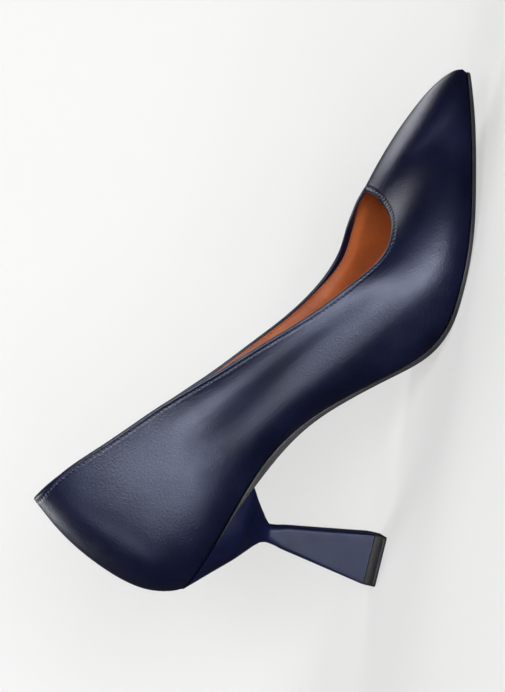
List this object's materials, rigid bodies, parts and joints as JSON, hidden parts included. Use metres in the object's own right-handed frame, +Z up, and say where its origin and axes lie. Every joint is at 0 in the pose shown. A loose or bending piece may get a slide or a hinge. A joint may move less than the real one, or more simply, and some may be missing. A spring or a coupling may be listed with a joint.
{
  "type": "high heel pump",
  "caption": "Pointed-toe leather pump with a low-cut topline, a tan lining and a high heel that narrows to a neck and flares to a square foot.",
  "frame": {"origin": "centre of the ground face of the heel's top piece", "axes": "+X from the heel to the toe, +Y to the wearer's left (the outer side of the foot), +Z up"},
  "size_m": [0.2382, 0.0817, 0.1447],
  "materials": {
    "navy_calf": "smooth semi-gloss navy calf leather with fine grain",
    "tan_lining": "smooth cognac lining leather",
    "stiffener_sheet": "resin-filled non-woven",
    "interlining_cloth": "woven backing cloth",
    "nylon_tape": "woven nylon tape",
    "navy_thread": "bonded polyester thread",
    "fibre_board": "pressed cellulose board",
    "latex_foam": "open latex foam",
    "cork_filler": "cork paste",
    "spring_steel": "plain steel",
    "black_sole": "satin black resin sole with polished edge",
    "heel_abs": "moulded ABS",
    "navy_heel_wrap": "satin navy finish over the heel",
    "black_tpu": "matte black polyurethane"
  },
  "bodies": {
    "root": {"upper_leather": "navy_calf", "topline_tape": "nylon_tape", "back_seam_tape": "nylon_tape", "heel_counter": "stiffener_sheet", "toe_puff": "stiffener_sheet", "inner_side_interlining": "interlining_cloth", "outer_side_interlining": "interlining_cloth", "quarter_lining": "tan_lining", "vamp_lining": "tan_lining", "sock_lining": "tan_lining", "foam_cushion": "latex_foam", "insole_board": "fibre_board", "shank_board": "fibre_board", "steel_shank": "spring_steel", "shank_rivets": "spring_steel", "bottom_filler": "cork_filler", "outsole": "black_sole", "heel_block": "heel_abs", "heel_cover": "navy_heel_wrap", "heel_rod": "spring_steel", "top_piece_pin": "spring_steel", "top_piece": "black_tpu", "heel_screw": "spring_steel", "heel_nails": "spring_steel", "topline_stitches": "navy_thread", "lining_stitches": "navy_thread"}
  },
  "joints": []
}
